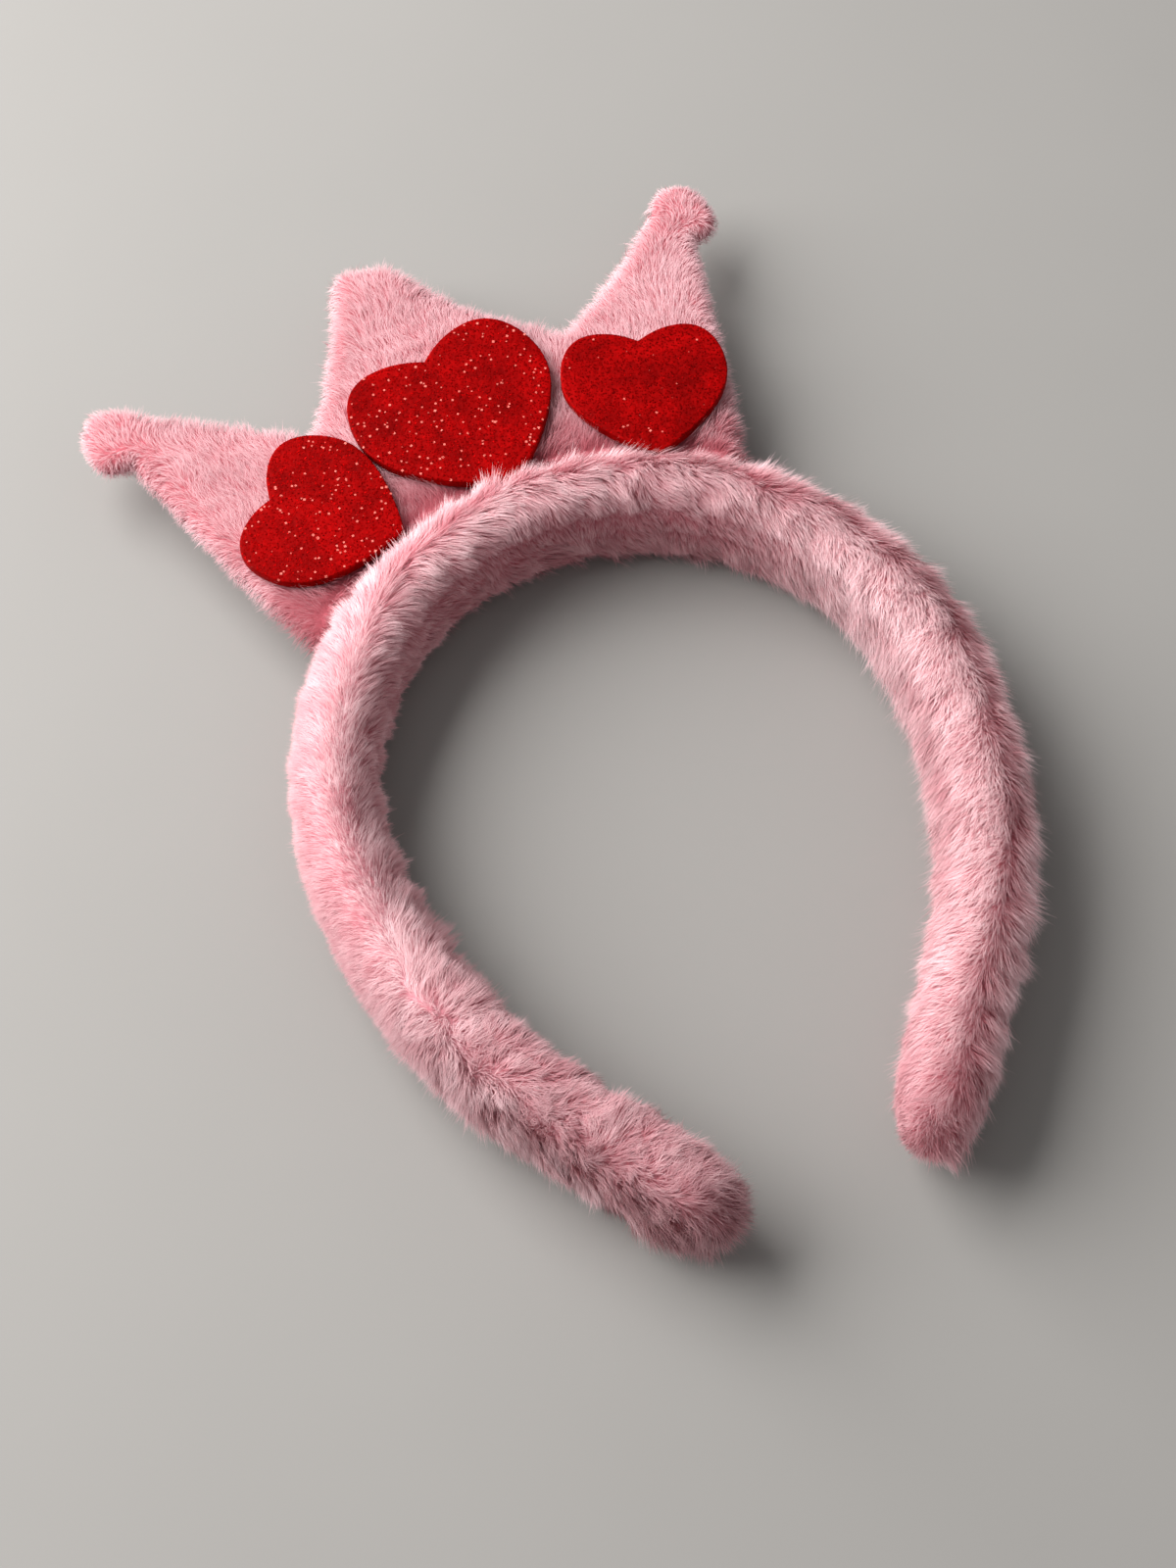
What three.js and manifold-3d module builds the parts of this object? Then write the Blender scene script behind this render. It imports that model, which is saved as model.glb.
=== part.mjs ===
// Plush heart headband: a furry open loop, a padded crown with three points standing on its arch,
// and three foam hearts glued to the crown's front. It lies on its back edge with the hearts up.
// Millimetres, +Z up. The crown points along +Y and the loop opens along -Y.

import * as THREE from 'three';
import { mergeVertices } from 'three/addons/utils/BufferGeometryUtils.js';
import Module from 'manifold-3d';

const degrees = THREE.MathUtils.degToRad;

// Loop of the band, measured along the middle of its padding
const ARCH_RADIUS = 66;
const SIDE_RADIUS = 104;
const SIDE_TURN = degrees(36);
const END_RUN = 42.5;

// Section of the band: thickness towards the head, width from the front edge to the back edge
const BAND_THICKNESS = 17.4;
const BAND_WIDTH = 27;
const SECTION_ROUNDNESS = 2.5;
const END_ROUNDING = 8;
const END_BLUNTNESS = 3;
const END_RING_SHARES = [0.06, 0.2, 0.42, 0.7];
const RESTING_FLAT = 0.8;

// Locks of the pile: low overlapping tufts in staggered columns round the band
const LOCK_LENGTH = 13;
const LOCK_COLUMNS = 8;
const LOCK_RISE = 1.3;
const LOCK_ROOT_SHARE = 0.3;
const GROOVE_SHARE = 0.2;
const COLUMN_STAGGER = 0.5;
const COLUMN_DRIFT = 0.17;
const RINGS_PER_LOCK = 4;
const POINTS_PER_LOCK = 3;

// Crown: a padded panel, sewn to the outside of the arch and slid a little round it
const CROWN_THICKNESS = 7;
const CROWN_EDGE = 2.6;
const CROWN_TURN = degrees(5.5);
const CROWN_RISE = 1;
const CROWN_ROOT_RADIUS = 70;
const MIDDLE_POINT_LEAN = -2;
const CURVE_STEPS = 5;
const EDGE_STEPS = 3;

// Right half of the crown's outline, from its root in the band to the top of the middle point.
// x and y run from the arch's centre; a row with bend_x and bend_y is reached by a curve.
const CROWN_OUTLINE = [
  { place: 'root corner', x: 47, y: 51.9 },
  { place: 'side', x: 58.8, y: 79 },
  { place: 'neck', bend_x: 66, bend_y: 99, x: 70.8, y: 114.8 },
  { place: 'knob, outer', bend_x: 76, bend_y: 117.8, x: 75.8, y: 123.2 },
  { place: 'knob, top', bend_x: 75.6, bend_y: 131, x: 69.8, y: 131.2 },
  { place: 'knob, inner', bend_x: 64.6, bend_y: 131.2, x: 60, y: 127.4 },
  { place: 'inner edge', x: 36.4, y: 110.2 },
  { place: 'valley', bend_x: 31, bend_y: 106.6, x: 26.8, y: 112 },
  { place: 'middle flank', bend_x: 14, bend_y: 125, x: 8.8, y: 136.6 },
  { place: 'middle corner', bend_x: 7, bend_y: 140.8, x: 3.4, y: 140.8 },
  { place: 'middle top', x: 0, y: 140.8 },
];

// Hearts: width, middle in the crown's own frame, and turn to the left
const HEART_THICKNESS = 2.4;
const HEART_EDGE = 0.35;
const HEARTS = [
  { name: 'heart_left', width: 37.6, x: -37.6, y: 85.4, turn: degrees(48.6) },
  { name: 'heart_center', width: 46.4, x: 0.6, y: 96.8, turn: degrees(7.6) },
  { name: 'heart_right', width: 37, x: 40.4, y: 84.3, turn: degrees(-17.4) },
];

// Right half of a heart one unit wide, from the notch over the lobe and down to the tip
const HEART_OUTLINE = [
  { place: 'lobe top', from: [0.07, 0.345], to: [0.15, 0.385], x: 0.26, y: 0.385 },
  { place: 'widest', from: [0.42, 0.385], to: [0.5, 0.24], x: 0.5, y: 0.06 },
  { place: 'beside the tip', from: [0.5, -0.17], to: [0.22, -0.38], x: 0.04, y: -0.485 },
  { place: 'tip', from: [0.025, -0.497], to: [0.012, -0.5], x: 0, y: -0.5 },
];
const HEART_NOTCH = 0.3;
const HEART_STEPS = 6;

// Space left between pieces that are sewn or glued together
const SEAM_GAP = 0.3;

const wasm = await Module();
wasm.setup();

const PINK_PLUSH = { color: 0xe8a0aa, roughness: 0.95, metalness: 0 };
const RED_GLITTER_FOAM = { color: 0xc00a10, roughness: 0.45, metalness: 0.1 };

function toSolid(geometry) {
  const bare = geometry.clone();
  bare.deleteAttribute('normal');
  bare.deleteAttribute('uv');
  const merged = mergeVertices(bare);
  const vertProperties = new Float32Array(merged.attributes.position.array);
  const triVerts = new Uint32Array(merged.index.array);
  return new wasm.Manifold(new wasm.Mesh({ numProp: 3, vertProperties, triVerts }));
}

function toGeometry(solid) {
  const mesh = solid.getMesh();
  const geometry = new THREE.BufferGeometry();
  geometry.setAttribute('position', new THREE.BufferAttribute(mesh.vertProperties, 3));
  geometry.setIndex(new THREE.BufferAttribute(mesh.triVerts, 1));
  geometry.computeVertexNormals();
  return geometry;
}

function namedMesh(name, geometry, finish) {
  const mesh = new THREE.Mesh(geometry, new THREE.MeshStandardMaterial(finish));
  mesh.name = name;
  return mesh;
}

// The loop's middle line, from the left end over the arch to the right end
function bandLine() {
  const sideCentre = SIDE_RADIUS - ARCH_RADIUS;
  const turnX = SIDE_RADIUS * Math.cos(SIDE_TURN) - sideCentre;
  const turnY = -SIDE_RADIUS * Math.sin(SIDE_TURN);
  const endX = turnX - END_RUN * Math.sin(SIDE_TURN);
  const endY = turnY - END_RUN * Math.cos(SIDE_TURN);
  const line = new THREE.Path();
  line.moveTo(-endX, endY);
  line.lineTo(-turnX, turnY);
  line.absarc(sideCentre, 0, SIDE_RADIUS, Math.PI + SIDE_TURN, Math.PI, true);
  line.absarc(0, 0, ARCH_RADIUS, Math.PI, 0, true);
  line.absarc(-sideCentre, 0, SIDE_RADIUS, 0, -SIDE_TURN, true);
  line.lineTo(endX, endY);
  return line;
}

// Distances of the band's rings from its left end: close together where the ends round off
function ringDistances(length) {
  const endSteps = END_RING_SHARES.map((share) => share * END_ROUNDING);
  const middle = length - 2 * END_ROUNDING;
  const steps = Math.round((middle * RINGS_PER_LOCK) / LOCK_LENGTH);
  const along = Array.from({ length: steps + 1 }, (_, i) => END_ROUNDING + (middle * i) / steps);
  return [...endSteps, ...along, ...endSteps.map((step) => length - step).reverse()];
}

// How much of the full section is left at a ring: all of it, until the end rounds off
function endShare(distance, length) {
  const toEnd = Math.min(distance, length - distance, END_ROUNDING) / END_ROUNDING;
  return (1 - (1 - toEnd) ** END_BLUNTNESS) ** (1 / END_BLUNTNESS);
}

// A lock swells from its root to its tip and drops to the next root; locks lie staggered
function lockRise(distance, point) {
  if (point % POINTS_PER_LOCK === 0) {
    return LOCK_RISE * GROOVE_SHARE;
  }
  const column = Math.floor(point / POINTS_PER_LOCK);
  const stagger = COLUMN_STAGGER * (column % 2) + COLUMN_DRIFT * Math.sin(LOCK_COLUMNS * column + column);
  const rows = distance / LOCK_LENGTH + stagger;
  const swell = rows - Math.floor(rows);
  return LOCK_RISE * THREE.MathUtils.lerp(LOCK_ROOT_SHARE, 1, swell);
}

// The furry loop as one closed skin of rings; grow moves the skin outwards all round
function bandGeometry(grow) {
  const line = bandLine();
  const length = line.getLength();
  const around = LOCK_COLUMNS * POINTS_PER_LOCK;
  const power = 2 / SECTION_ROUNDNESS;
  const floor = RESTING_FLAT - BAND_WIDTH / 2;
  const distances = ringDistances(length);
  const positions = [];
  const triangles = [];

  for (const distance of distances) {
    const middle = line.getPoint(distance / length);
    const along = line.getTangent(distance / length);
    const share = endShare(distance, length);
    for (let point = 0; point < around; point++) {
      const angle = (2 * Math.PI * (point + 0.5)) / around;
      const outX = Math.sign(Math.cos(angle)) * Math.abs(Math.cos(angle)) ** power;
      const outZ = Math.sign(Math.sin(angle)) * Math.abs(Math.sin(angle)) ** power;
      const rise = lockRise(distance, point) + grow;
      const radial = share * outX * (BAND_THICKNESS / 2 + rise);
      const axial = Math.max(share * outZ * (BAND_WIDTH / 2 + rise), floor - grow);
      positions.push(middle.x - along.y * radial, middle.y + along.x * radial, axial);
    }
  }

  const lastRing = distances.length - 1;
  for (let ring = 0; ring < lastRing; ring++) {
    for (let point = 0; point < around; point++) {
      const next = (point + 1) % around;
      const [a, b] = [ring * around + point, ring * around + next];
      triangles.push(a, b, a + around, b, b + around, a + around);
    }
  }
  const caps = [
    { ring: 0, end: line.getPoint(0), flip: true },
    { ring: lastRing, end: line.getPoint(1), flip: false },
  ];
  for (const { ring, end, flip } of caps) {
    const centre = positions.length / 3;
    positions.push(end.x, end.y, 0);
    for (let point = 0; point < around; point++) {
      const a = ring * around + point;
      const b = ring * around + ((point + 1) % around);
      triangles.push(...(flip ? [centre, b, a] : [centre, a, b]));
    }
  }

  const geometry = new THREE.BufferGeometry();
  geometry.setAttribute('position', new THREE.Float32BufferAttribute(positions, 3));
  geometry.setIndex(triangles);
  geometry.computeVertexNormals();
  return geometry;
}

// A closed outline from its right half, whose first and last points are on the axis
function mirrored(half) {
  const left = half.slice(1, -1).map((point) => new THREE.Vector2(-point.x, point.y));
  return [...half, ...left.reverse()];
}

// A panel with round edges, middle of its thickness at z = 0
function paddedPanel(shape, thickness, edge, steps) {
  const geometry = new THREE.ExtrudeGeometry(shape, {
    depth: thickness - 2 * edge,
    bevelEnabled: true,
    bevelThickness: edge,
    bevelSize: edge,
    bevelOffset: -edge,
    bevelSegments: steps,
  });
  return geometry.translate(0, 0, edge - thickness / 2);
}

function crownShape() {
  const [root, ...rows] = CROWN_OUTLINE;
  const rootAngle = Math.atan2(root.x, root.y);
  const half = new THREE.Path();
  half.moveTo(0, CROWN_ROOT_RADIUS);
  half.absarc(0, 0, CROWN_ROOT_RADIUS, Math.PI / 2, Math.PI / 2 - rootAngle, true);
  for (const row of rows) {
    if (row.bend_x === undefined) {
      half.lineTo(row.x, row.y);
    } else {
      half.quadraticCurveTo(row.bend_x, row.bend_y, row.x, row.y);
    }
  }
  const outline = mirrored(half.getPoints(CURVE_STEPS));
  const valley = rows.find((row) => row.place === 'valley');
  const top = rows.at(-1);
  for (const point of outline) {
    const inMiddlePoint = Math.abs(point.x) < valley.x && point.y > valley.y;
    point.x += inMiddlePoint ? (MIDDLE_POINT_LEAN * (point.y - valley.y)) / (top.y - valley.y) : 0;
  }
  return new THREE.Shape(outline);
}

function crownGeometry(cutter) {
  const panel = paddedPanel(crownShape(), CROWN_THICKNESS, CROWN_EDGE, EDGE_STEPS);
  panel.rotateZ(CROWN_TURN).translate(0, 0, CROWN_RISE);
  return toGeometry(toSolid(panel).subtract(cutter));
}

function heartShape(width) {
  const half = new THREE.Path();
  half.moveTo(0, HEART_NOTCH * width);
  for (const { from, to, x, y } of HEART_OUTLINE) {
    half.bezierCurveTo(from[0] * width, from[1] * width, to[0] * width, to[1] * width, x * width, y * width);
  }
  return new THREE.Shape(mirrored(half.getPoints(HEART_STEPS)));
}

function heartGeometry({ width, x, y, turn }, cutter) {
  const heart = paddedPanel(heartShape(width), HEART_THICKNESS, HEART_EDGE, 1);
  const seat = CROWN_RISE + CROWN_THICKNESS / 2 + SEAM_GAP;
  heart.rotateZ(turn).translate(x, y, 0).rotateZ(CROWN_TURN).translate(0, 0, seat + HEART_THICKNESS / 2);
  return toGeometry(toSolid(heart).subtract(cutter));
}

const headband = new THREE.Group();
const bandWithGap = toSolid(bandGeometry(SEAM_GAP));
headband.add(namedMesh('band', bandGeometry(0), PINK_PLUSH));
headband.add(namedMesh('crown', crownGeometry(bandWithGap), PINK_PLUSH));
for (const heart of HEARTS) {
  headband.add(namedMesh(heart.name, heartGeometry(heart, bandWithGap), RED_GLITTER_FOAM));
}

// The origin is under the middle of the whole object, on the surface that it lies on
const box = new THREE.Box3().setFromObject(headband);
const middle = box.getCenter(new THREE.Vector3());
headband.position.set(-middle.x, -middle.y, -box.min.z);

export default headband;
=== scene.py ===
"""Heart headband: a plush band and crown with three glitter hearts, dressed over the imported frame."""

import math

import bpy
import numpy as np
from bpy.props import FloatProperty, FloatVectorProperty, IntProperty, PointerProperty
from bpy.types import Operator, Panel, PropertyGroup
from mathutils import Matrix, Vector
from mathutils.geometry import delaunay_2d_cdt
from mathutils.kdtree import KDTree


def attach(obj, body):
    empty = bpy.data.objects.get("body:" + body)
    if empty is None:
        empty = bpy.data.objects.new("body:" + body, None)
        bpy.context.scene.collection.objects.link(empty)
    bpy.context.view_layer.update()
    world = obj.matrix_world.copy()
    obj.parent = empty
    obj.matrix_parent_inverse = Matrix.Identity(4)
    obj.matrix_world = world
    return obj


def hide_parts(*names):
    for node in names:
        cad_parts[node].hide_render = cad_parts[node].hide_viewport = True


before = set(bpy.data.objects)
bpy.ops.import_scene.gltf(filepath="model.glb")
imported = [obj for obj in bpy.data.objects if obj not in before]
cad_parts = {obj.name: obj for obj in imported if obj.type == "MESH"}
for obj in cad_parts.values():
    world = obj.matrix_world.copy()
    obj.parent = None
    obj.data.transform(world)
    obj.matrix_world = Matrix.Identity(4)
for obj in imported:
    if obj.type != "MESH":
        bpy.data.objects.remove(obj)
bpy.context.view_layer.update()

bl_info = {
    "name": "Heart Headband",
    "version": (1, 0, 0),
    "blender": (4, 5, 0),
    "location": "View3D > Sidebar > Headband",
    "description": "Builds a plush headband with a three-pointed crown and three glitter hearts",
    "category": "Add Mesh",
}

MM = 0.001

# The arch's centre in the frame: the middle of the band's width, above the surface that it lies on
ARCH_CENTRE = np.array((5.703, -20.747, 12.7)) * MM
FLOOR_CLEARANCE = 0.15 * MM
UP = np.array((0.0, 0.0, 1.0))

# Fineness of the backings and outlines, and the distance within which points are joined. OUTLINE_STEP is in
# millimetres, like the crown's outline, and EDGE_RINGS are shares of a panel's round edge.
CAP_RINGS = 8
BODY_RINGS = 150
BAND_COLUMNS = 44
ROOT_STEPS = 24
OUTLINE_STEP = 1.5
HEART_STEPS = 16
EDGE_RINGS = (0.06, 0.22, 0.5, 1.0)
CROWN_SPACING = 1.7 * MM
HEART_SPACING = 2.2 * MM
JOIN_DISTANCE = 0.002 * MM

# Seeds of the random draws
BAND_SEED = 21
CROWN_SEED = 34
GLITTER_SEED = 55

# Right half of the crown's outline in millimetres from the arch's centre, from its root beside the
# band to the top of the middle point. A row with a bend is reached by a curve.
CROWN_ROOT = (49.6, 55.6)
CROWN_RUNS = (
    {"place": "side", "bend": None, "to": (57.9, 77.0)},
    {"place": "neck", "bend": (65.0, 99.5), "to": (69.4, 116.2)},
    {"place": "knob, outer", "bend": (77.4, 116.4), "to": (77.2, 123.2)},
    {"place": "knob, top", "bend": (77.0, 133.0), "to": (70.4, 133.2)},
    {"place": "knob, inner", "bend": (65.4, 133.2), "to": (61.8, 127.6)},
    {"place": "inner edge", "bend": None, "to": (36.0, 110.0)},
    {"place": "valley", "bend": (30.4, 103.6), "to": (27.0, 110.4)},
    {"place": "middle flank", "bend": (14.0, 125.0), "to": (8.8, 136.6)},
    {"place": "middle corner", "bend": (7.2, 141.6), "to": (3.6, 141.8)},
    {"place": "middle top", "bend": None, "to": (0.0, 141.8)},
)
VALLEY = (27.0, 110.4)
MIDDLE_TOP = 141.8
# The right point's inner edge: where it runs across the crown, and the lowest place on it
INNER_EDGE = (31.0, 66.0)
INNER_EDGE_FOOT = 104.0

# Each heart: width and middle in millimetres in the crown's own frame, turn in degrees, and how many of
# the pale flakes, which are painted glints, it keeps
HEARTS = (
    {"name": "heart_left", "width": 37.6, "middle": (-37.6, 85.4), "turn": 48.6, "sparkle": 1.0},
    {"name": "heart_center", "width": 46.4, "middle": (0.6, 96.8), "turn": 7.6, "sparkle": 1.0},
    {"name": "heart_right", "width": 37.0, "middle": (40.4, 84.3), "turn": -17.4, "sparkle": 0.15},
)

# Right half of a heart one unit wide: notch, then curves over the lobe and down to the tip
HEART_NOTCH = (0.0, 0.30)
HEART_RUNS = (
    {"place": "lobe top", "bends": ((0.07, 0.345), (0.15, 0.385)), "to": (0.26, 0.385)},
    {"place": "widest", "bends": ((0.42, 0.385), (0.5, 0.24)), "to": (0.5, 0.06)},
    {"place": "beside the tip", "bends": ((0.5, -0.17), (0.22, -0.38)), "to": (0.04, -0.485)},
    {"place": "tip", "bends": ((0.025, -0.497), (0.012, -0.5)), "to": (0.0, -0.5)},
)


def length_setting(name, description, default):
    """A size that is shown as a length."""
    return FloatProperty(name=name, description=description, default=default, min=0.0, unit="LENGTH")


def angle_setting(name, description, degrees):
    """A turn, given in degrees."""
    return FloatProperty(name=name, description=description, default=math.radians(degrees), unit="ROTATION")


def number_setting(name, description, default):
    """A plain number."""
    return FloatProperty(name=name, description=description, default=default, min=0.0)


def count_setting(name, description, default):
    """A number of like things."""
    return IntProperty(name=name, description=description, default=default, min=1)


def colour_setting(name, description, red, green, blue):
    """A colour that is shown as a swatch."""
    default = (red, green, blue, 1.0)
    return FloatVectorProperty(
        name=name, description=description, default=default, min=0.0, max=1.0, size=4, subtype="COLOR"
    )


class HeadbandBandSettings(PropertyGroup):
    """Sizes and colours of the padded band and its pile."""

    arch_radius: length_setting("Arch radius", "Radius of the middle line over the head", 66 * MM)
    side_radius: length_setting("Side radius", "Radius of the middle line down each side", 104 * MM)
    side_turn: angle_setting("Side turn", "How far each side curls in", 36)
    end_run: length_setting("End run", "Straight length at each end", 42.5 * MM)
    thickness: length_setting("Backing thickness", "Padded backing, across the band", 14.6 * MM)
    width: length_setting("Backing width", "Padded backing, along the wearer's head", 23.4 * MM)
    roundness: number_setting("Section roundness", "2 is an ellipse, more is squarer", 2.5)
    end_rounding: length_setting("End rounding", "Length over which each end closes", 12 * MM)
    pile_length: length_setting("Pile length", "Length of a strand of the band's pile", 6.2 * MM)
    strand_width: length_setting("Strand width", "Width of a strand at its root", 0.12 * MM)
    strand_count: count_setting("Strands", "Strands on the whole band", 240000)
    backing_colour: colour_setting("Backing colour", "Knitted backing under the pile", 0.66, 0.26, 0.31)
    # The root colour is partly the pile's own deeper rose and partly painted shade deep between the tufts.
    root_colour: colour_setting("Root colour", "Pile down between the tufts", 0.635, 0.14, 0.187)
    tip_colour: colour_setting("Tip colour", "Pile at its tips", 0.895, 0.64, 0.678)


class HeadbandCrownSettings(PropertyGroup):
    """Sizes and colours of the crown panel and its short pile."""

    thickness: length_setting("Backing thickness", "Padded backing of the crown", 4.6 * MM)
    inset: length_setting("Backing inset", "How far the backing stays inside the crown's outline", 0.9 * MM)
    rise: length_setting("Rise", "Crown's middle above the middle of the band's width", 1 * MM)
    turn: angle_setting("Turn", "Crown's turn round the arch", 5.5)
    root_radius: length_setting("Root radius", "Where the crown meets the band", 74 * MM)
    middle_lean: FloatProperty(
        name="Middle lean",
        description="Sideways lean of the middle point's top",
        default=-2.5 * MM,
        unit="LENGTH",
    )
    middle_tilt: number_setting("Middle tilt", "Slope of the middle point's top, up to the left", 0.3)
    right_hollow: length_setting("Right hollow", "How far the right point's inner edge curves in", 2.4 * MM)
    pile_length: length_setting("Pile length", "Length of a strand of the crown's pile", 3.4 * MM)
    strand_width: length_setting("Strand width", "Width of a strand at its root", 0.11 * MM)
    strand_count: count_setting("Strands", "Strands on the crown", 58000)
    # Partly the pile's own deeper rose and partly painted shade deep in the pile; it also colours the
    # backing.
    root_colour: colour_setting("Root colour", "Pile at its roots", 0.52, 0.124, 0.157)
    tip_colour: colour_setting("Tip colour", "Pile at its tips", 0.815, 0.52, 0.565)


class HeadbandHeartSettings(PropertyGroup):
    """Sizes and colours of the glitter foam hearts."""

    thickness: length_setting("Foam thickness", "Thickness of the foam sheet", 2.4 * MM)
    edge: length_setting("Foam edge", "Rounding of the cut edge", 0.35 * MM)
    seat: length_setting("Seat", "Underside of the hearts above the middle of the band's width", 4.8 * MM)
    flake_size: length_setting("Flake size", "Side of a glitter flake", 0.27 * MM)
    flakes_per_mm2: number_setting("Flakes per square mm", "How closely the glitter lies", 3.0)
    flake_tilt: angle_setting("Flake tilt", "Usual tilt of a flake", 5)
    foam_colour: colour_setting("Foam colour", "Foam between the flakes", 0.225, 0.0006, 0.0008)
    flake_colour: colour_setting("Flake colour", "Glitter flakes", 0.335, 0.0009, 0.0012)
    # The pale flakes with this colour are painted glints.
    painted_glint_colour: colour_setting("Sparkle colour", "The few palest flakes", 0.74, 0.16, 0.13)


class HeadbandStageSettings(PropertyGroup):
    """The floor, the lights and the camera."""

    floor_colour: colour_setting("Floor colour", "Plain pale floor", 0.3, 0.294, 0.286)
    key_power: FloatProperty(
        name="Key power", description="Soft light from the upper left", default=30.0, unit="POWER"
    )
    sky_strength: number_setting("Sky strength", "Even light from all round", 0.34)
    lens: number_setting("Lens", "Focal length in millimetres", 67.5)
    view_distance: length_setting("View distance", "From the camera to the headband", 612.2 * MM)
    view_elevation: angle_setting("View elevation", "Camera's height angle", 63.73)
    view_azimuth: angle_setting("View azimuth", "Camera's turn to the left", 20.55)


# Shapes


def unit(vectors):
    """Vectors with their lengths made 1."""
    return vectors / np.maximum(np.linalg.norm(vectors, axis=-1, keepdims=True), 1e-12)


def smooth_step(start, end, values):
    """0 before start, 1 after end, and smooth between."""
    share = np.clip((values - start) / (end - start), 0.0, 1.0)
    return share * share * (3.0 - 2.0 * share)


def ripples(points, scale, rng, waves=9):
    """Smooth unevenness of about -1 to 1 over places, from a few crossing waves."""
    directions = unit(rng.normal(size=(waves, 3)))
    lengths = scale * rng.uniform(0.7, 1.5, waves)
    phases = rng.uniform(0.0, 2.0 * math.pi, waves)
    turns = points @ (directions / lengths[:, None]).T * 2.0 * math.pi + phases
    return np.sin(turns).sum(axis=1) / math.sqrt(waves)


def half_length(band):
    """Length of the band's middle line from the arch's top to an end."""
    return band.arch_radius * math.pi / 2 + band.side_radius * band.side_turn + band.end_run


def band_line(band, along):
    """Places, headings and outward directions on the middle line, by distance from the arch's top."""
    side = np.where(along < 0.0, -1.0, 1.0)
    run = np.abs(along)
    arch_end = band.arch_radius * math.pi / 2
    on_side = run > arch_end
    radius = np.where(on_side, band.side_radius, band.arch_radius)
    bend = np.clip((run - arch_end) / band.side_radius, 0.0, band.side_turn)
    turn = np.minimum(run, arch_end) / band.arch_radius + bend
    straight = np.maximum(run - arch_end - band.side_radius * band.side_turn, 0.0)
    x = band.arch_radius - radius + radius * np.sin(turn) + straight * np.cos(turn)
    y = radius * np.cos(turn) - straight * np.sin(turn)
    level = np.zeros_like(x)
    places = np.stack((side * x, y, level), axis=-1) + ARCH_CENTRE
    headings = np.stack((np.cos(turn), -side * np.sin(turn), level), axis=-1)
    outward = np.stack((side * np.sin(turn), np.cos(turn), level), axis=-1)
    return places, headings, outward


def band_surface(band, along, around):
    """Places on the padded backing; around runs from the outer side over the front edge."""
    places, _, outward = band_line(band, along)
    to_end = np.clip((half_length(band) - np.abs(along)) / band.end_rounding, 0.0, 1.0)
    swell = np.sqrt(1.0 - (1.0 - to_end) ** 2)
    power = 2.0 / band.roundness
    across = np.sign(np.cos(around)) * np.abs(np.cos(around)) ** power * band.thickness / 2
    rise = np.sign(np.sin(around)) * np.abs(np.sin(around)) ** power * band.width / 2
    return places + (swell * across)[:, None] * outward + (swell * rise)[:, None] * UP


def band_grid(band):
    """The backing as a net of points with their places along and around, and its triangles."""
    half = half_length(band)
    body = half - band.end_rounding
    cap = body + band.end_rounding * (1.0 - np.linspace(1.0, 0.0, CAP_RINGS + 1)[1:] ** 2)
    rings = np.concatenate((-cap[::-1], np.linspace(-body, body, BODY_RINGS), cap))
    columns = BAND_COLUMNS
    along = np.repeat(rings, columns)
    around = np.tile(np.arange(columns) * 2.0 * math.pi / columns, len(rings))
    points = band_surface(band, along, around)
    ring, column = np.meshgrid(np.arange(len(rings) - 1), np.arange(columns), indexing="ij")
    here = (ring * columns + column).ravel()
    beside = (ring * columns + (column + 1) % columns).ravel()
    triangles = np.concatenate(
        (
            np.stack((here, beside + columns, here + columns), axis=1),
            np.stack((here, beside, beside + columns), axis=1),
        )
    )
    return points, triangles, along, around


def face_directions(points, triangles):
    """Directions that triangles face, each twice as long as its triangle's area."""
    a, b, c = (points[triangles[:, k]] for k in range(3))
    return np.cross(b - a, c - a)


def corner_normals(points, triangles):
    """Smooth normals at the points of a triangle mesh."""
    faces = face_directions(points, triangles)
    normals = np.zeros_like(points)
    for k in range(3):
        np.add.at(normals, triangles[:, k], faces)
    return unit(normals)


def curve_points(corners, steps):
    """Points on a Bezier curve after its first corner."""
    order = len(corners) - 1
    t = np.arange(1, steps + 1)[:, None] / steps
    points = 0.0
    for k, corner in enumerate(corners):
        points = points + math.comb(order, k) * (1.0 - t) ** (order - k) * t**k * np.array(corner)
    return points


def closed_outline(half):
    """A whole outline from its right half, whose first and last points are on the axis."""
    left = half[1:-1][::-1] * np.array((-1.0, 1.0))
    return np.concatenate((half, left))


def turned(points, angle):
    """Flat points turned to the left round the origin."""
    c = math.cos(angle)
    s = math.sin(angle)
    return points @ np.array(((c, s), (-s, c)))


def crown_outline(crown):
    """The crown's outline in its own frame, in metres from the arch's centre."""
    reach = math.atan2(CROWN_ROOT[0], CROWN_ROOT[1])
    sweep = np.linspace(0.0, reach, ROOT_STEPS)
    root_radius = crown.root_radius / MM
    runs = [np.stack((root_radius * np.sin(sweep), root_radius * np.cos(sweep)), axis=1)]
    last = CROWN_ROOT
    for run in CROWN_RUNS:
        corners = (last, run["to"]) if run["bend"] is None else (last, run["bend"], run["to"])
        span = math.dist(last, run["to"])
        runs.append(curve_points(corners, max(3, round(span / OUTLINE_STEP))))
        last = run["to"]
    outline = closed_outline(np.concatenate(runs))
    in_middle = (np.abs(outline[:, 0]) < VALLEY[0]) & (outline[:, 1] > VALLEY[1])
    share = np.where(in_middle, (outline[:, 1] - VALLEY[1]) / (MIDDLE_TOP - VALLEY[1]), 0.0)
    outline[:, 0] += share * crown.middle_lean / MM
    outline[:, 1] -= share * crown.middle_tilt * outline[:, 0]
    near, far = INNER_EDGE
    along_edge = np.clip((outline[:, 0] - near) / (far - near), 0.0, 1.0)
    hollow = np.where(outline[:, 1] > INNER_EDGE_FOOT, np.sin(math.pi * along_edge), 0.0)
    outline[:, 1] -= hollow * crown.right_hollow / MM
    return outline * MM


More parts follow.
